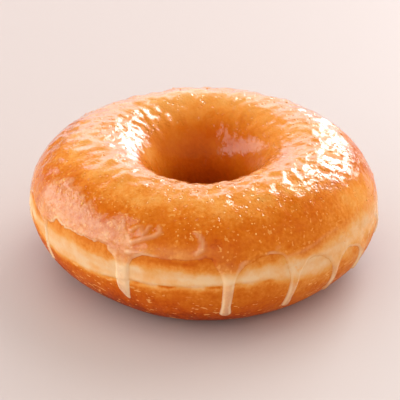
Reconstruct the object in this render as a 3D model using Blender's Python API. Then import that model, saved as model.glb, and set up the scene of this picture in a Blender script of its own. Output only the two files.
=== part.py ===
"""A yeast-raised ring doughnut: one uneven ring of fried dough that rests on a flat foot.

Metres, +Z up. The origin is on the surface that the doughnut rests on, in the middle of its hole, and -Y is
the front. A point of the ring is given by two angles: ring_angle goes round the hole, from +X towards +Y,
and section_angle goes round the dough itself, from its outermost point up over the crest.
"""

import math

import bpy

# Driving dimensions.
OUTER_RADIUS = 0.0475
HOLE_RADIUS = 0.0121
HEIGHT = 0.0359
CREST_RADIUS = 0.0286  # of the circle along the top of the ring
WAIST_HEIGHT = 0.0171  # of the widest line, where the two fried halves meet

# The section is a superellipse in each quarter. An exponent of 2 is an ellipse, and a higher one is squarer.
OUTSIDE_EXPONENT = 2.08
HOLE_EXPONENT = 1.86

# The dough sinks this far under its own weight, which flattens its underside into the foot.
FOOT_SINK = 0.0007

# The waist is the shallow groove left at the oil's surface, between the two fried halves.
WAIST_DEPTH = 0.0006
WAIST_HALF_WIDTH = 0.0034

# How the hand-cut ring departs from a true one: (waves round the ring, amplitude, angle of the first peak).
OUTER_WAVES = ((1, 0.0006, 85), (2, 0.0006, 154), (3, 0.0004, 33), (4, 0.0003, 88), (5, 0.0004, 57))
HOLE_WAVES = ((1, 0.0006, 154), (2, 0.0003, 60), (3, 0.0003, 10))
HEIGHT_WAVES = ((1, 0.0003, 100), (2, 0.0003, 200), (3, 0.0003, 80), (5, 0.0002, 310))
WAIST_WAVES = ((1, 0.0014, 217), (2, 0.0004, 20), (4, 0.0003, 130))

# Mesh lines round the ring and round its section, and how strongly the latter crowd towards the waist.
RING_LINES = 112
SECTION_LINES = 36
WAIST_CROWDING = 0.3

CRUST_COLOUR = (0.62, 0.23, 0.035, 1)
CRUST_ROUGHNESS = 0.35


def clear_scene():
    for thing in list(bpy.data.objects):
        bpy.data.objects.remove(thing)


def waves(terms, ring_angle):
    """The sum of a few cosine waves round the ring."""
    return sum(size * math.cos(count * (ring_angle - math.radians(peak))) for count, size, peak in terms)


def superellipse(value, exponent):
    """A cosine or sine reshaped so that the quarter it belongs to is a superellipse."""
    return math.copysign(abs(value) ** (2 / exponent), value)


def waist_groove(outward, above_waist):
    """How far the surface is drawn in at the waist. It fades out before the hole."""
    across = above_waist / WAIST_HALF_WIDTH
    return WAIST_DEPTH * max(outward, 0) * math.exp(-across * across)


def dough_point(ring_angle, section_angle):
    """The point of the dough's surface at these two angles."""
    outer_radius = OUTER_RADIUS + waves(OUTER_WAVES, ring_angle)
    hole_radius = HOLE_RADIUS + waves(HOLE_WAVES, ring_angle)
    crest_height = HEIGHT + waves(HEIGHT_WAVES, ring_angle)
    waist_height = WAIST_HEIGHT + waves(WAIST_WAVES, ring_angle)

    outward = math.cos(section_angle)
    upward = math.sin(section_angle)
    width = outer_radius - CREST_RADIUS if outward > 0 else CREST_RADIUS - hole_radius
    rise = crest_height - waist_height if upward > 0 else waist_height + FOOT_SINK
    exponent = OUTSIDE_EXPONENT if outward > 0 else HOLE_EXPONENT

    above_waist = rise * superellipse(upward, exponent)
    radius = CREST_RADIUS + width * superellipse(outward, exponent) - waist_groove(outward, above_waist)
    return (
        radius * math.cos(ring_angle),
        radius * math.sin(ring_angle),
        max(waist_height + above_waist, 0),
    )


def crust_material():
    material = bpy.data.materials.new("crust")
    material.use_nodes = True
    surface = material.node_tree.nodes["Principled BSDF"]
    surface.inputs["Base Color"].default_value = CRUST_COLOUR
    surface.inputs["Roughness"].default_value = CRUST_ROUGHNESS
    surface.inputs["Metallic"].default_value = 0
    return material


def dough_ring(collection):
    """A torus whose points are moved onto the dough's surface."""
    tube_radius = (OUTER_RADIUS - HOLE_RADIUS) / 2
    core_radius = (OUTER_RADIUS + HOLE_RADIUS) / 2
    bpy.ops.mesh.primitive_torus_add(
        major_segments=RING_LINES,
        minor_segments=SECTION_LINES,
        major_radius=core_radius,
        minor_radius=tube_radius,
    )
    ring = bpy.context.object
    ring.name = "dough_ring"
    for vertex in ring.data.vertices:
        x, y, z = vertex.co
        ring_angle = math.atan2(y, x)
        section_angle = math.atan2(z, math.hypot(x, y) - core_radius)
        section_angle -= WAIST_CROWDING * math.sin(section_angle)
        vertex.co = dough_point(ring_angle, section_angle)
    ring.data.shade_smooth()
    ring.data.materials.append(crust_material())
    for holder in list(ring.users_collection):
        holder.objects.unlink(ring)
    collection.objects.link(ring)
    return ring


def main():
    clear_scene()
    collection = bpy.data.collections.new("ring_doughnut")
    bpy.context.scene.collection.children.link(collection)
    dough_ring(collection)


main()
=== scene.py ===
"""The looks of a glazed ring doughnut: its fried dough, the sugar glaze on it, and the glaze's bubbles.

Metres, +Z up, -Y is the front. A place on the ring is given by two angles, as in the solid: ring goes round
the hole from +X towards +Y, and section goes round the dough itself, from its outermost point up over the
crest. Lists of places give both angles in degrees. The unit of the small lengths is a millimetre, MM.
"""

import itertools
import math

import bpy
import numpy as np
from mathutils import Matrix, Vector


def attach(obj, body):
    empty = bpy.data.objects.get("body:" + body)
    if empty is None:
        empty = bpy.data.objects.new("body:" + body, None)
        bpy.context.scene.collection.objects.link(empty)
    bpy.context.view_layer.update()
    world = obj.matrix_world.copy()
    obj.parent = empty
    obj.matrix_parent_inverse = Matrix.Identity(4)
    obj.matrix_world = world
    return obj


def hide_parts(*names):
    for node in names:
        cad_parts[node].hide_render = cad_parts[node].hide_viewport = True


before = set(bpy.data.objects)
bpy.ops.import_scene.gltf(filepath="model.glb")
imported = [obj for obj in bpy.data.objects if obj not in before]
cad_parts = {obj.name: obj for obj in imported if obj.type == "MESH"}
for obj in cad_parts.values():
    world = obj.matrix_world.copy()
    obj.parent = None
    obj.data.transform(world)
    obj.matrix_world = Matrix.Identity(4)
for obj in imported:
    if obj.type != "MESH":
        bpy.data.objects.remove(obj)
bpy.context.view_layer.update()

MM = 0.001

# ---------------------------------------------------------------- the dough's shape, as in the solid

OUTER_RADIUS = 47.5 * MM
HOLE_RADIUS = 12.1 * MM
HEIGHT = 35.9 * MM
CREST_RADIUS = 28.6 * MM
WAIST_HEIGHT = 17.1 * MM
OUTSIDE_EXPONENT = 2.08
HOLE_EXPONENT = 1.86
FOOT_SINK = 0.7 * MM
SECTION_RADIUS = 18.2 * MM  # of the circle nearest to the section, which turns section angles into lengths

# Waves round the ring: (how many, amplitude in MM, angle of the first peak).
OUTER_WAVES = ((1, 0.6, 85), (2, 0.6, 154), (3, 0.4, 33), (4, 0.3, 88), (5, 0.4, 57))
HOLE_WAVES = ((1, 0.6, 154), (2, 0.3, 60), (3, 0.3, 10))
HEIGHT_WAVES = ((1, 0.3, 100), (2, 0.3, 200), (3, 0.3, 80), (5, 0.2, 310))
WAIST_WAVES = ((1, 1.4, 217), (2, 0.4, 20), (4, 0.3, 130))

# ---------------------------------------------------------------- the dough's crease and colour

# The crease between the two fried halves, and the upper end of the pale band above it: (ring, section).
CREASE = (
    (0, -5), (40, -2), (75, -7), (110, -3), (150, -6), (190, -4), (212, -14), (222, -12), (236, -12),
    (246, -7.3), (258, -4.4), (269, -0.8), (281, 1.4), (290, 0), (302, -5), (314, -7), (322, -3), (330, 1),
    (340, 1), (350, -3),
)
BAND_TOP = (
    (0, 17), (40, 12), (75, 16), (110, 11), (150, 15), (190, 12), (203, 10), (212, 8), (235, 7), (244, 9),
    (251, 12.5), (263, 13), (270, 13), (278, 14), (287, 16.5), (298, 17), (309, 16.5), (318, 20), (328, 24),
    (338, 23),
)
# The skin across the crease, each ridge or hollow as (height, how far above the crease, half width), in MM.
BAND_HOLLOW = (-0.35, 2.2, 2.6)
UPPER_LOBE = (0.25, 0.9, 0.8)
NOTCH = (-0.4, 0, 0.4)
# Where the halves join without an open crease: on the left of the front, (ring, half width), and on its
# right, the middle's ring and how far from it the crease closes and opens again.
CLOSED_LEFT = (222, 20)
CLOSED_RIGHT_MIDDLE = 322
CLOSED_RIGHT = (-38, -26, 25, 45)
# How dark the dough is fried away from the pale band, from 0, raw, to 1, dark brown: (section, browning).
BROWNING = (
    (-60, 1.0), (-44, 0.96), (-32, 0.85), (-20, 0.74), (-12, 0.65), (5, 0.55), (22, 0.54), (36, 0.68),
    (48, 0.65), (59, 0.50), (68, 0.38), (80, 0.34), (104, 0.36), (116, 0.41), (132, 0.50), (150, 0.58),
    (175, 0.66), (210, 0.84), (270, 0.92),
)
# Patches lighter than that, some fried lighter and some with painted light: the browning they lose, then
# (ring, half width, section, half width).
LIGHTER_AND_LIT_PATCHES = (
    # painted light on the right of the dome, where the light from the right falls
    (0.35, (336, 17, 36, 13)),
    (0.22, (222, 17, 8, 7)),
    (0.12, (90, 45, 92, 12)),
    # painted light on the hole's left wall, which the window lights
    (0.20, (164, 17, 142, 11)),
)
# Places round the ring that are fried more or less than the rest, some with painted light or shade: (ring,
# half width).
# Paler below the waist here, partly painted light bounced off the lit floor on the right.
PALE_AND_LIT_BELOW_WAIST = (318, 30)
SHADED_FAR_WALL = (85, 42)  # of the hole: painted shade, where the far wall lies in shadow
BROWN_AND_SHADED_UNDER_BORDER = (264, 11)  # just under the glaze's border: browner crust, partly a painted shadow of the glaze's lip
BROWN_CORE = (332, 22)  # of the pale band

# ---------------------------------------------------------------- the glaze

FILM_THICKNESS = 0.26 * MM
DRIP_THICKNESS = 0.62 * MM
FILM_SHOULDER = 0.65 * MM  # how far in from its border the film has its full thickness
DRIP_SHOULDER = 1.2 * MM
DRIP_FADE = 3.5 * MM  # over which the film turns from clear to a milky drip
# Ridges along the border: (height, how far in from the border, half width), in MM.
BEAD = (0.12, 0.8, 0.5)
ROLLED_LIP = (0.22, 0.8, 0.7)

# The glaze's lower border where no drip runs: (ring, section).
GLAZE_BORDER = (
    (0, 9), (14, 16), (30, 12), (46, 20), (62, 15), (80, 22), (98, 14), (118, 19), (135, 12), (150, 18),
    (164, 21), (178, 14), (192, 17), (202, 10), (209, 11), (213, 17), (219, 14.5), (226, 15), (234, 16.5),
    (239, 14), (248, 16), (251, 19), (258, 20.3), (266, 21), (270, 25.5), (280, 24), (286, 20.5),
    (291.5, 22), (295, 20), (298.5, 14.5), (303, 12), (307.5, 9.5), (312, 4.5), (319, 3), (326, 0.8),
    (331, 0), (340, 2), (350, 5),
)
BORDER_WAVER = 1.6  # degrees of section
HOLE_BORDER = 205  # where the glaze ends down in the hole, in degrees of section
HOLE_BORDER_WAVER = 9  # degrees of section

# Each drip: the reach of the web at its root, and how far below the film's border it is still clear, both in
# MM; then (ring, section, half width in MM) from its root to its tip.
DRIPS = (
    (3.0, 0.3, ((204.9, 11, 0.8), (206.2, 6, 0.8), (205.6, -10, 0.75), (206.6, -25, 0.8))),
    (4.5, 2.0, ((243, 9, 2.1), (242.7, -8, 2.1), (243, -16, 1.8), (243.7, -22, 1.0), (244.4, -26, 0.4))),
    (9.0, 3.6, (
        (277.9, 14, 1.6), (277.7, 5, 1.5), (277.2, -8, 1.35), (276.9, -20, 1.22), (276.9, -30, 1.52),
    )),
    (7.0, 5.5, ((300.7, 6, 1.9), (299.4, -12, 1.3), (298.6, -24, 1.15), (298.5, -31.5, 1.35))),
    (6.0, 0.5, ((318.0, -3, 1.2), (318.1, -22, 1.0), (317.9, -38, 0.95))),
    (6.0, 0.5, ((334.2, -2, 1.3), (332.6, -15, 1.0), (331.8, -28, 1.0))),
    (5.0, 0.8, ((352.0, 2, 1.3), (352.5, -10, 1.0), (352.4, -18, 1.2))),
    (8.0, 1.0, ((20.6, 10, 1.6), (20.4, -8, 1.2), (20.8, -26, 1.5))),
    (4.0, 1.5, ((54.0, 14, 1.1), (54.6, 2, 1.0), (54.2, -7, 1.3))),
    (9.0, 1.2, ((71.2, 12, 1.7), (71.6, -12, 1.1), (71.0, -33, 1.4))),
    (5.0, 1.0, ((104.0, 10, 1.2), (103.2, -8, 1.0), (103.6, -17, 1.2))),
    (7.0, 1.6, ((128.0, 12, 1.8), (128.8, -6, 1.4), (128.2, -24, 1.0), (127.6, -30, 0.5))),
    (4.0, 1.2, ((159.0, 14, 1.0), (158.2, 0, 0.9), (158.6, -9, 1.2))),
    (6.0, 0.8, ((184.0, 10, 1.6), (184.8, -10, 1.2), (184.2, -27, 1.4))),
)
# Raised threads of glaze that set on the film: the height in MM, then places as for a drip.
THREADS = (
    (0.20, ((297.5, 17, 0.3), (302, 17, 0.3), (307, 18.5, 0.3), (313, 22, 0.28), (319, 23, 0.25))),
    (0.50, (
        (267.1, 45, 0.25), (268.6, 42, 0.45), (269.6, 36.6, 0.5), (269.4, 31.6, 0.5), (267.5, 27.3, 0.35),
    )),
    (0.50, (
        (245.7, 27, 0.55), (250.1, 33.1, 0.5), (253.1, 36.7, 0.45), (254.9, 41.1, 0.5), (254.1, 45.8, 0.25),
    )),
    (0.45, ((244.8, 36.3, 0.45), (246.5, 41.1, 0.3))),
    (0.45, ((248, 35.2, 0.4), (248, 42.1, 0.25))),
    (0.50, ((249.4, 36.1, 0.45), (250.8, 44, 0.3))),
    (0.45, ((244.4, 18, 0.55), (248, 20.1, 0.55), (251.5, 22.4, 0.35))),
    (0.22, ((346, 22, 0.4), (353, 26, 0.45), (1, 24, 0.35))),
    (0.45, ((66, 24, 0.45), (64, 31, 0.5), (60, 35, 0.45))),
    (0.45, ((75, 25, 0.45), (77.5, 32, 0.55), (81, 34, 0.5))),
    (0.22, ((137, 24, 0.4), (145, 28, 0.45), (152, 25, 0.35))),
)
TALLEST_THREAD = 0.5 * MM
STATIONS_PER_LEG = 7  # points at which a drip or thread is worked out, from one of its places to the next
# Where the milky rim along the glaze's border fades: (ring, half width in degrees, share of it that goes).
RIM_GAPS = ((262, 8, 1.0), (284, 4, 0.55), (295.5, 3.2, 0.75))
# The upper edge of the patch on the outer slope where the glaze set dull and milky, its milky colour partly
# a painted reflection of the light on the left: (ring, section).
DULL_SHEEN_PATCH = (
    (198, 40), (205, 54), (217, 51), (223, 46), (228, 41), (234, 36), (241, 45), (244, 36), (247, 25),
)
# Places round the ring where the glaze is unlike the rest: (ring, half width).
RAGGED_BORDER = (225, 14)
LIPPED_BORDER = (225, 11)
MILKY_BORDER = (262, 11)
FOLDED_LIP = (0, 45)  # where folds take the place of lumps on the way into the hole
ROUGH_WALL = (0, 35)  # of the hole, which is smooth elsewhere
GLOSSY_SLOPE = (225, 40)
DIM_SLOPE = (5, 42)
# Where the glaze set in knobs: (ring, half width, section, half width).
WINDOW_SIDE = (345, 45, 70, 26)
LEFT_LIP = (160, 28, 108, 14)
LEFT_EDGE = (195, 13, 32, 22)
FRONT_LIP = (270, 45, 96, 14)
BACK_LEFT = (148, 30, 72, 25)

# ---------------------------------------------------------------- angles, fades and noise


def spaced(count, low, high, density):
    """count values from low up to just under high, closer together where density(value) is high."""
    steps = 4001
    fine = np.linspace(low, high, steps)
    weight = density(fine)
    share = np.concatenate(([0], np.cumsum((weight[1:] + weight[:-1]) / 2)))
    return np.interp(np.arange(count) / count, share / share[-1], fine)


def smooth_step(value, low, high):
    """0 below low, 1 above high, and a smooth rise between them."""
    share = np.clip((value - low) / (high - low), 0, 1)
    return share * share * (3 - 2 * share)


def smooth_window(value, rise_low, rise_high, fall_low, fall_high):
    """1 from rise_high to fall_low, 0 below rise_low and above fall_high, and smooth slopes between them."""
    return smooth_step(value, rise_low, rise_high) * (1 - smooth_step(value, fall_low, fall_high))


def bump(value, centre, half_width):
    """A bell curve of height 1."""
    return np.exp(-(((value - centre) / half_width) ** 2))


def ridge(distance, shape):
    """A rounded ridge along a line: its shape is (height, middle's distance, half width), in MM."""
    height, middle, half_width = shape
    return height * MM * bump(distance, middle * MM, half_width * MM)


def degrees_apart(ring, other):
    """The signed gap from one ring angle to another, in degrees from -180 to 180."""
    return (np.degrees(ring) - other + 180) % 360 - 180


def near(ring, middle, half_width):
    """A bell curve of height 1 round the ring, with its middle and half width in degrees."""
    return bump(degrees_apart(ring, middle), 0, half_width)


def patch(ring, degrees, place):
    """A soft patch of height 1 at a place: (ring, half width, section, half width)."""
    ring_middle, ring_reach, section_middle, section_reach = place
    return near(ring, ring_middle, ring_reach) * bump(degrees, section_middle, section_reach)


def waves(terms, ring):
    """The sum of a few cosine waves round the ring."""
    return sum(size * MM * np.cos(count * (ring - math.radians(peak))) for count, size, peak in terms)


def round_the_ring(places, ring, softness=1.6):
    """Section degrees of a line through these places, smoothed over so many degrees of ring."""
    whole_turn = np.arange(0, 360, 0.5)
    angles, values = zip(*places)
    straight = np.interp(whole_turn, angles, values, period=360)
    kernel = near(np.radians(whole_turn), 0, softness)
    rounded = np.fft.irfft(np.fft.rfft(straight) * np.fft.rfft(kernel / kernel.sum()), len(whole_turn))
    return np.interp(np.degrees(ring), whole_turn, rounded, period=360)


def noise(points, size, seed):
    """Smooth random values, mostly from -1 to 1, whose lumps are about this size."""
    random = np.random.default_rng(seed)
    shuffled = random.permutation(256)
    slopes = random.normal(size=(256, 3))
    slopes /= np.linalg.norm(slopes, axis=1, keepdims=True)
    cell = np.floor(points / size).astype(int)
    inside = points / size - cell
    ease = inside**3 * (inside * (inside * 6 - 15) + 10)
    total = np.zeros(points.shape[:-1])
    for corner in itertools.product((0, 1), repeat=3):
        key = np.zeros(points.shape[:-1], int)
        for axis in range(3):
            key = shuffled[(key + cell[..., axis] + corner[axis]) & 255]
        weight = np.prod(np.where(corner, ease, 1 - ease), axis=-1)
        total += weight * np.sum(slopes[key] * (inside - corner), axis=-1)
    to_full_range = 1.7
    return total * to_full_range


# ---------------------------------------------------------------- the dough


def superellipse(value, exponent):
    """A cosine or sine reshaped so that the quarter it belongs to is a superellipse."""
    return np.sign(value) * np.abs(value) ** (2 / exponent)


def plain_dough(ring, section):
    """Points of the solid's surface, without its groove."""
    outer_radius = OUTER_RADIUS + waves(OUTER_WAVES, ring)
    hole_radius = HOLE_RADIUS + waves(HOLE_WAVES, ring)
    crest_height = HEIGHT + waves(HEIGHT_WAVES, ring)
    waist_height = WAIST_HEIGHT + waves(WAIST_WAVES, ring)
    outward = np.cos(section)
    upward = np.sin(section)
    outside = outward > 0
    width = np.where(outside, outer_radius - CREST_RADIUS, CREST_RADIUS - hole_radius)
    rise = np.where(upward > 0, crest_height - waist_height, waist_height + FOOT_SINK)
    exponent = np.where(outside, OUTSIDE_EXPONENT, HOLE_EXPONENT)
    radius = CREST_RADIUS + width * superellipse(outward, exponent)
    height = np.maximum(waist_height + rise * superellipse(upward, exponent), 0)
    return np.stack((radius * np.cos(ring), radius * np.sin(ring), height), axis=-1)


def outward_normals(ring, section):
    """Unit normals of the plain dough at these angles."""
    step = 0.004
    along = plain_dough(ring + step, section) - plain_dough(ring - step, section)
    around = plain_dough(ring, section + step) - plain_dough(ring, section - step)
    normal = np.cross(along, around)
    return normal / np.linalg.norm(normal, axis=-1, keepdims=True)


def unrolled(ring, section, across, along=1):
    """Points for a noise that is drawn out by these factors: across, hole to edge, and along the ring."""
    radius = CREST_RADIUS / along
    height = SECTION_RADIUS * section / across
    return np.stack((radius * np.cos(ring), radius * np.sin(ring), height), axis=-1)


def closed_crease(ring):
    """1 where the two halves join without an open crease, left and right of the front, and 0 elsewhere."""
    right = smooth_window(degrees_apart(ring, CLOSED_RIGHT_MIDDLE), *CLOSED_RIGHT)
    return np.maximum(near(ring, *CLOSED_LEFT), right)


def dough_relief(ring, section, points):
    """How far the dough stands proud of its plain shape."""
    degrees = np.degrees(section)
    above_crease = (degrees - round_the_ring(CREASE, ring)) * math.radians(1) * SECTION_RADIUS
    outside = smooth_step(np.cos(section), 0.2, 0.5)
    sharpness = (0.55 + 0.45 * noise(points, 22 * MM, 11)) * (1 - 0.9 * closed_crease(ring))

    lumps = 0.22 * MM * noise(points, 17 * MM, 1) + 0.07 * MM * noise(points, 6 * MM, 2)
    skin = 0.03 * MM * noise(points, 1.6 * MM, 3)
    join = ridge(above_crease, BAND_HOLLOW) + sharpness * ridge(above_crease, UPPER_LOBE)
    join = join + sharpness * ridge(above_crease, NOTCH)
    wrinkles = 0.07 * MM * noise(unrolled(ring, section, 4), 0.9 * MM, 4)
    wrinkles = wrinkles * bump(above_crease, 2 * MM, 4 * MM)
    off_the_foot = smooth_step(points[..., 2], 0, 1.5 * MM)
    return (lumps + skin + outside * (join + wrinkles)) * off_the_foot


def pale_band_browning(ring, section, points, above_crease, width):
    """How brown the pale band is: palest in its core, with streaks, and darkened along the open crease by
    painted shade.
    """
    off_core = (above_crease - 0.4 * width) / (0.6 * width)
    streaks = 0.05 * noise(unrolled(ring, section, 3), 1.6 * MM, 25)
    streaks = streaks + 0.09 * noise(unrolled(ring, section, 1, 6), 1.7 * MM, 28)
    # Painted shade in the open crease, in patches.
    crease_shade = 0.55 * bump(above_crease, -0.2, 1.1) * smooth_step(noise(points, 5 * MM, 26), -0.1, 0.4)
    core = 0.05 + 0.05 * near(ring, *BROWN_CORE)
    return core + 0.27 * np.minimum(off_core**2, 1) + streaks + crease_shade * (1 - closed_crease(ring))


def browning(ring, section, points):
    """How dark the dough looks, from 0, raw cream, to 1, dark brown: how it is fried, with painted shade in
    the hole, in the crease and under the glaze's border, and painted light in a few places.
    """
    degrees = np.degrees(section)
    crease = round_the_ring(CREASE, ring) + noise(points, 4 * MM, 21)
    band_top = round_the_ring(BAND_TOP, ring)
    band_top = band_top + 2.5 * noise(points, 8 * MM, 22) + 1.5 * noise(points, 3 * MM, 27)
    pale = smooth_window(degrees, crease - 6, crease + 1.5, band_top - 6, band_top + 6)
    in_band = pale_band_browning(ring, section, points, degrees - crease, band_top - crease)

    fried = np.interp(degrees, *zip(*BROWNING), period=360)
    # Paler below the waist on the front right: partly fried lighter, partly painted light bounced off the
    # lit floor on the right.
    fried = fried - 0.24 * near(ring, *PALE_AND_LIT_BELOW_WAIST) * (1 - smooth_step(degrees, -5, 20))
    for loss, place in LIGHTER_AND_LIT_PATCHES:
        fried = fried - loss * patch(ring, degrees, place)
    # Painted shade on the hole's far wall, which lies in shadow.
    far_wall_shade = near(ring, *SHADED_FAR_WALL) * smooth_step(degrees, 115, 140)
    # A browner strip just under the glaze's border, partly a painted shadow of the glaze's lip.
    brown_shade_under_border = bump(degrees, round_the_ring(GLAZE_BORDER, ring, 1.0) - 2.5, 2.2)
    fried = fried + 0.23 * far_wall_shade + 0.22 * near(ring, *BROWN_AND_SHADED_UNDER_BORDER) * brown_shade_under_border
    mottles = 0.08 * noise(points, 12 * MM, 23) + 0.05 * noise(points, 4 * MM, 24)
    return np.clip(fried * (1 - pale) + in_band * pale + mottles, 0, 1)


# ---------------------------------------------------------------- the glaze's outline and thickness


def smooth_union(first, second, reach):
    """The lower of two distances, with the corner between them filled over this reach."""
    overlap = np.maximum(reach - np.abs(first - second), 0) / reach
    return np.minimum(first, second) - overlap * overlap * reach / 4


def distance_to(ring, section, place_ring, place_section):
    """Over the surface, to a place given in degrees."""
    local_radius = CREST_RADIUS + SECTION_RADIUS * np.cos(section)
    along = np.radians(degrees_apart(ring, place_ring)) * local_radius
    across = (section - math.radians(place_section)) * SECTION_RADIUS
    return np.hypot(along, across)


def path_distance(ring, section, stations):
    """To the border of a drip or thread that runs through these stations: negative inside it."""
    nearest = np.full(np.broadcast(ring, section).shape, 1.0)
    for start, end in zip(stations, stations[1:]):
        for share in np.linspace(0, 1, STATIONS_PER_LEG):
            at_ring, at_section, half_width = (a + (b - a) * share for a, b in zip(start, end))
            distance = distance_to(ring, section, at_ring, at_section) - half_width * MM
            nearest = np.minimum(nearest, distance)
    return nearest


def glaze_distance(ring, section, points):
    """Metres to the glaze's border, negative on the glaze; then how much a place belongs to a drip."""
    degrees = np.degrees(section)
    border = round_the_ring(GLAZE_BORDER, ring, 1.0)
    ragged = 0.5 + 1.5 * near(ring, *RAGGED_BORDER)
    border = border + BORDER_WAVER * (noise(points, 3.5 * MM, 31) + ragged * noise(points, 1.3 * MM, 33))
    hole_border = HOLE_BORDER + HOLE_BORDER_WAVER * noise(points, 9 * MM, 32)
    film = np.maximum(border - degrees, degrees - hole_border) * math.radians(1) * SECTION_RADIUS
    distance = film
    for web, _, stations in DRIPS:
        distance = smooth_union(distance, path_distance(ring, section, stations), web * MM)
    roots = [stations[0][0] for _, _, stations in DRIPS]
    clear = MM * np.interp(np.degrees(ring), roots, [length for _, length, _ in DRIPS], period=360)
    dripping = smooth_step(film, clear, clear + DRIP_FADE)
    return distance, dripping


def threads(ring, section):
    """Height of the raised threads of glaze."""
    height = np.zeros(np.broadcast(ring, section).shape)
    for tallness, stations in THREADS:
        distance = path_distance(ring, section, stations)
        height = np.maximum(height, tallness * MM * (1 - smooth_step(distance, -0.35 * MM, 0.45 * MM)))
    return height


def dull_sheen_patch(ring, section, points):
    """1 inside the dull patch of the glaze, with a ragged edge, and 0 outside it."""
    turn = np.degrees(ring) % 360
    angles, heights = zip(*DULL_SHEEN_PATCH)
    edge = np.interp(turn, angles, heights, left=0, right=0) + 5 * noise(points, 2.2 * MM, 47)
    ends = smooth_window(turn, angles[0], angles[0] + 4, angles[-1] - 2, angles[-1])
    return smooth_step(edge - np.degrees(section), -1, 3) * ends


def on_the_crown(degrees):
    """1 on the upper side, where the glaze set roughest, and 0 on the slopes outside and in the hole."""
    return smooth_window(degrees, 25, 65, 122, 145)


def glaze_relief(ring, section, points):
    """The uneven top of the set film: swells, lumps and folds drawn out by its flow, knobs and dimples."""
    degrees = np.degrees(section)
    crown = on_the_crown(degrees)
    left_lip = patch(ring, degrees, LEFT_LIP)
    left_edge = patch(ring, degrees, LEFT_EDGE)
    folded_lip = near(ring, *FOLDED_LIP) * smooth_step(degrees, 78, 96)
    knobby = 0.15 + patch(ring, degrees, WINDOW_SIDE) + left_lip
    knobby = knobby + 0.6 * patch(ring, degrees, FRONT_LIP) + 0.5 * patch(ring, degrees, BACK_LEFT)
    knobby = np.clip(knobby, 0, 1) * crown
    off_the_wall = 1 - 0.8 * smooth_step(degrees, 120, 145) * (1 - near(ring, *ROUGH_WALL))

    swells = 0.14 * MM * noise(points, 6.5 * MM, 41)
    lumps = (0.06 * off_the_wall + 0.35 * crown * (1 - folded_lip) * (1 - 0.4 * left_lip)) * MM
    lumps = lumps * noise(unrolled(ring, section, 1.3), 3.2 * MM, 42)
    folds = 0.20 * crown * folded_lip * MM * noise(unrolled(ring, section, 0.9, 2.0), 2.2 * MM, 48)
    knobs = (0.24 * knobby + 0.06 * left_lip + 0.18 * left_edge) * MM * noise(points, 1.8 * MM, 43)
    dimples = (0.03 * off_the_wall + 0.09 * knobby) * MM * smooth_step(noise(points, 1.5 * MM, 44), 0.0, 0.5)
    grain = (0.02 + 0.06 * dull_sheen_patch(ring, section, points)) * MM * noise(points, 1.0 * MM, 45)
    return swells + lumps + folds + knobs - dimples + grain


def glaze_height(ring, section, points):
    """How far the glaze stands over the dough; then its distance, as above; then how milky it is."""
    distance, dripping = glaze_distance(ring, section, points)
    film = 1 - dripping
    inside = -distance
    plateau = FILM_THICKNESS * film + DRIP_THICKNESS * dripping
    shoulder = FILM_SHOULDER * film + DRIP_SHOULDER * dripping
    body = plateau * (1 - (1 - np.clip(inside / shoulder, 0, 1)) ** 1.6)
    border = ridge(inside, BEAD) + near(ring, *LIPPED_BORDER) * ridge(inside, ROLLED_LIP)
    uneven = glaze_relief(ring, section, points) * smooth_step(inside, 0.2 * MM, 2.2 * MM)
    uneven = uneven * (1 - 0.75 * dripping)
    strands = threads(ring, section) * smooth_step(inside, 0, 0.4 * MM)
    sunk_edge = -np.minimum(np.maximum(distance, 0) * 0.8, 0.5 * MM)
    height = np.where(distance < 0, body + border * film + uneven + strands, sunk_edge)
    thick_edge = near(ring, *MILKY_BORDER) * bump(inside, 1.6 * MM, 1.6 * MM) * film
    milk = 0.50 * dripping + 0.30 * strands / TALLEST_THREAD + 0.13 * thick_edge
    return height, distance, milk


# ---------------------------------------------------------------- meshes

# Mesh lines round the ring, and round the section.
DOUGH_LINES = (600, 160)
GLAZE_LINES = (525, 180)


def ring_mesh(name, points, values):
    """A closed skin through rows of points, a row for each ring line, with named values for each point."""
    ring_count, section_count = points.shape[:2]
    index = np.arange(ring_count * section_count).reshape(ring_count, section_count)
    following = np.roll(index, -1, axis=0)
    corners = (index, following, np.roll(following, -1, axis=1), np.roll(index, -1, axis=1))
    faces = np.stack(corners, axis=-1)
    mesh = bpy.data.meshes.new(name)
    mesh.from_pydata(points.reshape(-1, 3).tolist(), [], faces.reshape(-1, 4).tolist())
    for label, value in values.items():
        layer = mesh.attributes.new(label, "FLOAT", "POINT")
        layer.data.foreach_set("value", value.astype(np.float32).ravel())
    return smooth_piece(name, mesh)


def smooth_piece(name, mesh):
    """A new object in the scene with this mesh, shaded smooth."""
    mesh.shade_smooth()
    piece = bpy.data.objects.new(name, mesh)
    bpy.context.scene.collection.objects.link(piece)
    return piece


def ring_lines(count):
    """Ring angles, closer together at the drips."""
    drip_places = [stations[1][0] for _, _, stations in DRIPS]

    def density(degrees):
        return 1 + 1.9 * sum(near(np.radians(degrees), place, 2.6) for place in drip_places)

    return np.radians(spaced(count, 0, 360, density))


def outer_slope(degrees):
    """1 on the outer slope, which has the most mottles and specks, and 0 from the crest inwards."""
    return 1 - smooth_step(degrees, 70, 100)


def dough_piece():
    """The fried dough, whose mesh lines are closest at the waist."""

    def density(degrees):
        waist = 1.8 * bump(degrees, -2, 16) + 0.7 * bump(degrees, -25, 25)
        return 0.8 + waist - 0.45 * bump(degrees, 90, 50)

    ring_count, section_count = DOUGH_LINES
    section_lines = np.radians(spaced(section_count, -180, 180, density))
    ring, section = np.meshgrid(ring_lines(ring_count), section_lines, indexing="ij")
    points = plain_dough(ring, section)
    relief = dough_relief(ring, section, points)
    skin = points + outward_normals(ring, section) * relief[..., None]
    skin[..., 2] = np.maximum(skin[..., 2], 0)
    degrees = np.degrees(section)
    values = {
        "browning": browning(ring, section, points),
        "below_waist": smooth_step(-degrees, 8, 16) * (np.cos(section) > 0),
        "outside": outer_slope(degrees),
    }
    return ring_mesh("dough", skin, values)


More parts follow.
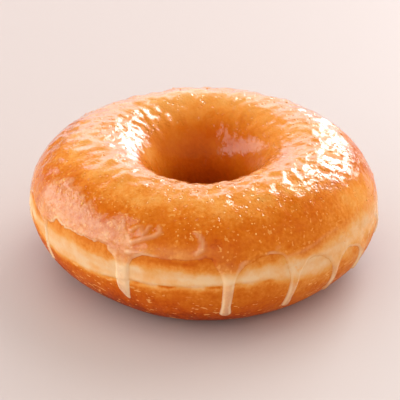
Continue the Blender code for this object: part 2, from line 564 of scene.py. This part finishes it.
def glaze_values(ring, section, points, distance, milk):
    """What the glaze's material needs to know at each point of its outer skin."""
    degrees = np.degrees(section)
    rim = smooth_step(noise(points, 6 * MM, 46), -0.5, 0.2)
    for place, reach, share in RIM_GAPS:
        rim = rim * (1 - share * near(ring, place, reach))
    dim = near(ring, *DIM_SLOPE)
    gloss = smooth_step(degrees, 25 + 22 * dim, 50 + 16 * dim)
    gloss = np.maximum(gloss, near(ring, *GLOSSY_SLOPE))
    return {
        # Browner along the glaze's very border: partly a darker edge of the glaze, partly painted shade
        # under its lip.
        "browning": browning(ring, section, points) + 0.12 * bump(distance, 0, 0.25 * MM),
        "milk": milk,
        "inside": -distance / MM,
        "crown": on_the_crown(degrees),
        "gloss": 0.4 - 0.3 * dim + (0.6 + 0.3 * dim) * gloss,
        "outside": outer_slope(degrees),
        "dull": dull_sheen_patch(ring, section, points),
        "rim": rim,
    }


def glaze_piece():
    """The film of glaze: its outer skin, closed by a plain back that is buried in the dough."""
    lowest, highest = -46, 226  # section degrees that the outer skin covers
    buried_lines = 6
    buried_depth = 1.7 * MM

    def density(degrees):
        return 1 - 0.45 * smooth_step(degrees, 140, 180)

    ring_count, section_count = GLAZE_LINES
    rings = ring_lines(ring_count)
    section_lines = np.radians(spaced(section_count, lowest, highest, density))
    ring, section = np.meshgrid(rings, section_lines, indexing="ij")
    points = plain_dough(ring, section)
    height, distance, milk = glaze_height(ring, section, points)
    height = height + dough_relief(ring, section, points)
    outer = points + outward_normals(ring, section) * height[..., None]
    outer[..., 2] = np.maximum(outer[..., 2], 0.2 * MM)

    back = np.meshgrid(rings, np.radians(np.linspace(highest, lowest, buried_lines)), indexing="ij")
    inner = plain_dough(*back) - outward_normals(*back) * buried_depth
    hidden = np.zeros((len(rings), buried_lines))
    shown = glaze_values(ring, section, points, distance, milk)
    values = {label: np.concatenate((value, hidden), axis=1) for label, value in shown.items()}
    return ring_mesh("glaze", np.concatenate((outer, inner), axis=1), values)


def unit_ball(segments=10, bands=6):
    """Points and faces of a ball of radius 1. The points are its top, its rings from above, its bottom."""
    tilt, turn = np.meshgrid(
        math.pi * np.arange(1, bands) / bands,
        math.pi / 2 + 2 * math.pi * np.arange(segments) / segments,
        indexing="ij",
    )
    rings = np.stack((np.sin(tilt) * np.cos(turn), np.sin(tilt) * np.sin(turn), np.cos(tilt)), axis=-1)
    points = np.concatenate(([(0, 0, 1)], rings.reshape(-1, 3), [(0, 0, -1)]))
    top, bottom = 0, len(points) - 1
    faces = []
    for here in range(segments):
        following = (here + 1) % segments
        faces.append([top, 1 + here, 1 + following])
        for first in range(1, bottom - segments, segments):
            below = first + segments
            faces.append([first + here, below + here, below + following, first + following])
        faces.append([bottom, bottom - segments + following, bottom - segments + here])
    return points, faces


def bubbles_piece():
    """Low blisters of air in the glaze: many tiny ones in drifts over the outer slope, and a few larger."""
    tiny, large = 750, 60
    flatness = 0.45
    count = tiny + large
    random = np.random.default_rng(5)
    ring = random.uniform(0, 2 * math.pi, count)
    section = np.radians(np.concatenate((random.normal(44, 14, tiny), random.uniform(38, 92, large))))
    radius = MM * np.concatenate((random.uniform(0.12, 0.28, tiny), random.uniform(0.28, 0.45, large)))
    points = plain_dough(ring, section)
    normals = outward_normals(ring, section)
    height, distance, _ = glaze_height(ring, section, points)
    centres = points + normals * (dough_relief(ring, section, points) + height)[:, None]
    in_a_drift = noise(points, 8 * MM, 51) + random.uniform(-0.3, 0.3, count) > 0.05
    kept = np.flatnonzero((distance < -1.2 * MM) & in_a_drift)

    ball, ball_faces = unit_ball()
    blisters = []
    for i in kept:
        lift = ball @ normals[i]
        low = ball - (1 - flatness) * lift[:, None] * normals[i]
        blisters.append(centres[i] + radius[i] * low)
    faces = [[corner + n * len(ball) for corner in face] for n in range(len(kept)) for face in ball_faces]
    mesh = bpy.data.meshes.new("bubbles")
    mesh.from_pydata(np.concatenate(blisters).tolist(), [], faces)
    return smooth_piece("bubbles", mesh)


# ---------------------------------------------------------------- materials


class Nodes:
    """Adds shader nodes to one material."""

    def __init__(self, name):
        self.material = bpy.data.materials.new(name)
        self.material.use_nodes = True
        self.tree = self.material.node_tree

    def put(self, socket, value):
        """Links the socket to another one, or sets it to a plain value."""
        if isinstance(value, bpy.types.NodeSocket):
            self.tree.links.new(value, socket)
        else:
            socket.default_value = value

    def add(self, kind, inputs, output=0, **settings):
        """A new node's output."""
        node = self.tree.nodes.new(kind)
        for name, value in settings.items():
            setattr(node, name, value)
        for name, value in inputs.items():
            self.put(node.inputs[name], value)
        return node.outputs[output]

    def finish(self, inputs):
        """Puts these on the material's surface, and gives the material."""
        surface = self.tree.nodes["Principled BSDF"]
        for name, value in inputs.items():
            self.put(surface.inputs[name], value)
        return self.material

    def attribute(self, name):
        """A value that the mesh holds for each point."""
        return self.add("ShaderNodeAttribute", {}, "Fac", attribute_name=name)

    def place(self):
        """The point's own place, in metres."""
        return self.add("ShaderNodeTexCoord", {}, "Object")

    def noise(self, size, detail=2, stretch=None):
        """A noise from 0 to 1 whose lumps are about this size, in metres."""
        place = self.place()
        if stretch:
            place = self.add("ShaderNodeMapping", {"Vector": place, "Scale": stretch}, vector_type="POINT")
        return self.add("ShaderNodeTexNoise", {"Vector": place, "Scale": 1 / size, "Detail": detail}, "Fac")

    def math(self, operation, first, second=0.0, clamp=False):
        """One step of arithmetic on two values."""
        return self.add("ShaderNodeMath", {0: first, 1: second}, operation=operation, use_clamp=clamp)

    def span(self, value, low, high, to_low=0.0, to_high=1.0):
        """A smooth change from to_low to to_high as the value goes from low to high."""
        inputs = {"Value": value, "From Min": low, "From Max": high, "To Min": to_low, "To Max": to_high}
        return self.add("ShaderNodeMapRange", inputs, interpolation_type="SMOOTHSTEP")

    def mix(self, share, first, second):
        """The first colour where share is 0, and the second where it is 1."""
        first_colour, second_colour, mixed_colour = 6, 7, 2  # the node's colour sockets
        inputs = {"Factor": share, first_colour: first, second_colour: second}
        return self.add("ShaderNodeMix", inputs, mixed_colour, data_type="RGBA")

    def ramp(self, value, stops):
        """A colour from a value, through stops of (value, colour)."""
        node = self.tree.nodes.new("ShaderNodeValToRGB")
        self.put(node.inputs["Fac"], value)
        elements = node.color_ramp.elements
        while len(elements) < len(stops):
            elements.new(0.5)
        for element, (position, colour) in zip(elements, stops):
            element.position = position
            element.color = (*colour, 1)
        return node.outputs["Color"]

    def pits(self, spacing):
        """Depth, up to 1, of scattered round pits of many sizes, whose middles are about this far apart."""
        node = self.tree.nodes.new("ShaderNodeTexVoronoi")
        self.put(node.inputs["Vector"], self.place())
        self.put(node.inputs["Scale"], 1 / spacing)
        size = self.add("ShaderNodeSeparateColor", {"Color": node.outputs["Color"]}, "Red")
        share = self.math("DIVIDE", node.outputs["Distance"], self.math("MULTIPLY", size, 0.42))
        return self.span(share, 0.25, 1.0, 1.0, 0.0)

    def bump(self, height):
        """Normals that are bent by heights in MM."""
        return self.add("ShaderNodeBump", {"Height": height, "Distance": MM}, "Normal")


# The dough's colour for each browning.
CRUST_STOPS = (
    (0.00, (0.86, 0.56, 0.30)),
    (0.12, (0.85, 0.46, 0.19)),
    (0.25, (0.82, 0.36, 0.085)),
    (0.40, (0.78, 0.265, 0.038)),
    (0.52, (0.70, 0.190, 0.015)),
    (0.64, (0.64, 0.142, 0.006)),
    (0.78, (0.58, 0.098, 0.003)),
    (0.90, (0.47, 0.066, 0.002)),
    (1.00, (0.34, 0.042, 0.001)),
)
CRUST_FLECK = (0.92, 0.47, 0.14, 1)
GLAZE_SPECK_AND_GLINT = (0.90, 0.42, 0.10, 1)
MILK = (0.94, 0.65, 0.38, 1)
DARK_BUBBLE = (0.80, 0.26, 0.04, 1)
PALE_BUBBLE = (0.88, 0.42, 0.10, 1)
PALE_FLOOR = (0.60, 0.515, 0.485, 1)


def crust_colour(nodes):
    """The dough's colour from its browning, mottled by two noises."""
    blotches = nodes.math("MULTIPLY", nodes.math("SUBTRACT", nodes.noise(4.5 * MM, 4), 0.5), 0.44)
    fried = nodes.attribute("browning")
    speckle = nodes.math("SUBTRACT", nodes.noise(0.9 * MM, 3), 0.5)
    speckle = nodes.math("MULTIPLY", speckle, nodes.span(fried, 0.1, 0.5, 0.16, 0.44))
    mottles = nodes.math("ADD", blotches, speckle)
    mottles = nodes.math("MULTIPLY", mottles, nodes.span(nodes.attribute("outside"), 0, 1, 0.45, 1.0))
    tone = nodes.math("ADD", fried, mottles, clamp=True)
    return nodes.ramp(tone, CRUST_STOPS)


def crust_material():
    """Fried crust with pale flecks below the waist."""
    nodes = Nodes("fried_crust")
    flecks = nodes.noise(1.9 * MM, 1, stretch=(1.0, 1.0, 2.4))
    drifts = nodes.span(nodes.noise(7 * MM, 1), 0.40, 0.60, -0.06, 0.02)
    flecks = nodes.span(nodes.math("ADD", flecks, drifts), 0.63, 0.68)
    flecks = nodes.math("MULTIPLY", flecks, nodes.attribute("below_waist"))
    pores = nodes.math("MULTIPLY", nodes.noise(0.8 * MM, 3), 0.08)
    roughened = nodes.math("ADD", pores, nodes.math("MULTIPLY", flecks, 0.05))
    return nodes.finish({
        "Base Color": nodes.mix(nodes.math("MULTIPLY", flecks, 0.75), crust_colour(nodes), CRUST_FLECK),
        "Roughness": nodes.span(nodes.noise(3 * MM), 0.3, 0.7, 0.42, 0.58),
        "Specular IOR Level": 0.08,
        "Subsurface Weight": 0.12,
        "Subsurface Radius": (1.0, 0.4, 0.12),
        "Subsurface Scale": 2 * MM,
        "Normal": nodes.bump(roughened),
    })


def glaze_milk(nodes, inside):
    """How milky the glaze looks: in the drips and threads, along its border, and in the dull patch, where
    the milk is partly a painted reflection of the light on the left.
    """
    rim = nodes.math("MULTIPLY", nodes.span(inside, 0.05, 0.22), nodes.span(inside, 0.95, 0.45, 0.0, 0.5))
    rim = nodes.math("MULTIPLY", rim, nodes.attribute("rim"))
    # In the dull patch the milky colour is partly a painted reflection of the light on the left.
    cloudy_sheen = nodes.span(nodes.noise(1.5 * MM, 4), 0.3, 0.7, 0.1, 0.34)
    dull = nodes.math("MULTIPLY", nodes.attribute("dull"), cloudy_sheen)
    return nodes.math("ADD", nodes.math("ADD", nodes.attribute("milk"), rim), dull, clamp=True)


def glaze_specks_and_glints(nodes):
    """Share of the pale colour in the small specks, and in larger splashes that are painted glints, on the
    outer slope.
    """
    drifts = nodes.span(nodes.noise(6 * MM, 1), 0.35, 0.65, -0.08, 0.03)
    specks = nodes.math("ADD", nodes.noise(1.1 * MM, 1), drifts)
    # Painted glints: larger pale splashes that stand for glints on glossy lumps.
    painted_glints = nodes.span(nodes.noise(2.4 * MM, 3), 0.66, 0.72, 0.0, 0.35)
    specks = nodes.math("MAXIMUM", nodes.span(specks, 0.64, 0.70, 0.0, 0.5), painted_glints)
    return nodes.math("MULTIPLY", specks, nodes.attribute("outside"))


def glaze_bump(nodes):
    """Pits in the crown, and a fine grain that is strongest in the dull patch."""
    depth = nodes.span(nodes.attribute("crown"), 0.3, 1.0, -0.01, -0.12)
    pits = nodes.math("MULTIPLY", nodes.pits(1.4 * MM), depth)
    graininess = nodes.math(
        "ADD",
        nodes.span(nodes.attribute("dull"), 0, 1, 0.05, 0.13),
        nodes.span(nodes.attribute("crown"), 0.3, 1.0, 0.0, 0.05),
    )
    grain = nodes.math("MULTIPLY", nodes.noise(0.6 * MM, 1), graininess)
    return nodes.bump(nodes.math("ADD", pits, grain))


def glaze_material():
    """Sugar glaze: the crust's colour, with its painted light and shade, pale specks and painted glints,
    under a clear coat, turning milky where the glaze is thick.
    """
    nodes = Nodes("sugar_glaze")
    inside = nodes.attribute("inside")
    under = nodes.mix(glaze_specks_and_glints(nodes), crust_colour(nodes), GLAZE_SPECK_AND_GLINT)
    coat = nodes.math("MULTIPLY", nodes.span(inside, 0.3, 1.0, 0.05, 1.0), nodes.attribute("gloss"))
    normal = glaze_bump(nodes)
    return nodes.finish({
        "Base Color": nodes.mix(glaze_milk(nodes, inside), under, MILK),
        "Roughness": nodes.span(nodes.noise(2 * MM, 3), 0.35, 0.7, 0.16, 0.30),
        "Specular IOR Level": 0.06,
        "Coat Weight": coat,
        "Coat Roughness": 0.04,
        "Subsurface Weight": 0.1,
        "Subsurface Radius": (1.0, 0.5, 0.2),
        "Subsurface Scale": 1.2 * MM,
        "Normal": normal,
        "Coat Normal": normal,
    })


def bubble_material():
    """The glaze's colour over a bubble, a little paler on some than on others."""
    nodes = Nodes("glaze_bubble")
    tint = nodes.span(nodes.noise(4 * MM), 0.3, 0.7)
    return nodes.finish({
        "Base Color": nodes.mix(tint, DARK_BUBBLE, PALE_BUBBLE),
        "Roughness": 0.3,
        "Specular IOR Level": 0.1,
        "Coat Weight": 0.1,
        "Coat Roughness": 0.1,
    })


def floor_material():
    """A plain pale ground."""
    return Nodes("pale_floor").finish({"Base Color": PALE_FLOOR, "Roughness": 0.6})


# ---------------------------------------------------------------- camera, floor and light

AIM = Vector((-0.001, 0, 0.0168))
CAMERA_ELEVATION = 28.16
CAMERA_DISTANCE = 0.4222
LENS = 136.2
SENSOR = 36
FLOOR_SIZE = 30

DIFFUSE = ("diffuse",)
GLOSSY = ("glossy",)
WARM_WHITE = (1.0, 0.97, 0.93)
PANEL_WHITE = (1.0, 0.98, 0.98)
AMBER = (1.0, 0.50, 0.18)

LIGHT_DISTANCE = 1.5
# The window: its panes' azimuths and elevations, and the width and height of one pane, in degrees.
PANE_AZIMUTHS = (20, 27, 34, 41)
PANE_ELEVATIONS = (14, 25, 36, 47)
PANE_SIZE = (4.4, 7.2)
PANE_RADIANCE = 24.0
PANE_COLOUR = (0.94, 0.96, 1.0)
# The other lights: (name, azimuth, elevation, width, height, radiance, colour, what they are seen in).
SOFT_BOXES = (
    ("window_fill", 40, 36, 50, 46, 2.6, WARM_WHITE, DIFFUSE),
    ("side_fill", 84, 26, 60, 40, 1.0, WARM_WHITE, DIFFUSE),
    ("ceiling", -60, 68, 60, 60, 0.6, WARM_WHITE, DIFFUSE),
    ("back_strip", -8, 21, 34, 15, 1.3, (0.88, 0.85, 1.0), GLOSSY),
    ("back_wall", 4, 20, 50, 42, 1.15, (0.93, 0.89, 1.0), GLOSSY),
    ("back_fill", -4, 16, 44, 34, 0.8, (0.94, 0.90, 1.0), DIFFUSE),
    ("room_glow", 160, 24, 150, 54, 0.8, (1.0, 0.48, 0.12), GLOSSY),
    ("far_glow", -40, 26, 32, 50, 0.8, AMBER, GLOSSY),
    ("right_glow", 65, 26, 42, 50, 0.8, AMBER, GLOSSY),
    ("left_panel", -96, 13, 84, 34, 2.45, PANEL_WHITE, DIFFUSE + GLOSSY),
    ("left_corner", -117, 39, 31, 17, 1.9, PANEL_WHITE, GLOSSY),
)
ROOM_COLOUR = (1.0, 0.975, 0.95, 1)
ROOM_STRENGTH = 0.78


def direction(azimuth, elevation):
    """Azimuth 0 is straight away from the camera, and 90 is to the right."""
    across = math.cos(math.radians(elevation))
    return Vector((
        across * math.sin(math.radians(azimuth)),
        across * math.cos(math.radians(azimuth)),
        math.sin(math.radians(elevation)),
    ))


def place_facing_aim(thing, azimuth, elevation, distance):
    """Puts a camera or light there, turned towards the doughnut, and adds it to the scene."""
    thing.location = AIM + direction(azimuth, elevation) * distance
    thing.rotation_euler = (AIM - thing.location).to_track_quat("-Z", "Y").to_euler()
    bpy.context.scene.collection.objects.link(thing)


def add_camera():
    """The photographer's camera, in front and above."""
    data = bpy.data.cameras.new("camera")
    data.lens = LENS
    data.sensor_width = SENSOR
    data.clip_end = 50
    camera = bpy.data.objects.new("camera", data)
    place_facing_aim(camera, 180, CAMERA_ELEVATION, CAMERA_DISTANCE)
    bpy.context.scene.camera = camera


def add_floor():
    """A wide floor that isn't part of the object."""
    bpy.ops.mesh.primitive_plane_add(size=FLOOR_SIZE)
    floor = bpy.context.object
    floor.name = "floor"
    floor.data.materials.append(floor_material())


def soft_box(name, azimuth, elevation, wide, high, radiance, colour, seen_in):
    """A rectangle of light that covers wide by high degrees of the view from the doughnut."""
    data = bpy.data.lights.new(name, "AREA")
    data.shape = "RECTANGLE"
    data.size = 2 * LIGHT_DISTANCE * math.tan(math.radians(wide / 2)) * math.cos(math.radians(elevation))
    data.size_y = 2 * LIGHT_DISTANCE * math.tan(math.radians(high / 2))
    data.energy = radiance * math.pi * data.size * data.size_y
    data.color = colour
    light = bpy.data.objects.new(name, data)
    light.visible_camera = False
    light.visible_diffuse = "diffuse" in seen_in
    light.visible_glossy = "glossy" in seen_in
    place_facing_aim(light, azimuth, elevation, LIGHT_DISTANCE)


def add_lights():
    """The window's panes, then the other soft boxes."""
    for azimuth, elevation in itertools.product(PANE_AZIMUTHS, PANE_ELEVATIONS):
        soft_box("window_pane", azimuth, elevation, *PANE_SIZE, PANE_RADIANCE, PANE_COLOUR, GLOSSY)
    for box in SOFT_BOXES:
        soft_box(*box)


def add_room():
    """An even light from all round that doesn't show in the glaze's reflections."""
    world = bpy.data.worlds.new("room")
    bpy.context.scene.world = world
    world.use_nodes = True
    background = world.node_tree.nodes["Background"]
    background.inputs["Color"].default_value = ROOM_COLOUR
    background.inputs["Strength"].default_value = ROOM_STRENGTH
    world.cycles_visibility.glossy = False


# ---------------------------------------------------------------- the scene


def main():
    bpy.context.scene.view_settings.view_transform = "Standard"
    add_camera()
    add_floor()
    add_lights()
    add_room()

    dough = dough_piece()
    dough.data.materials.append(crust_material())
    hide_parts("dough_ring")

    glaze = glaze_piece()
    glaze.data.materials.append(glaze_material())

    bubbles = bubbles_piece()
    bubbles.data.materials.append(bubble_material())

    for piece in (dough, glaze, bubbles):
        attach(piece, "root")


main()
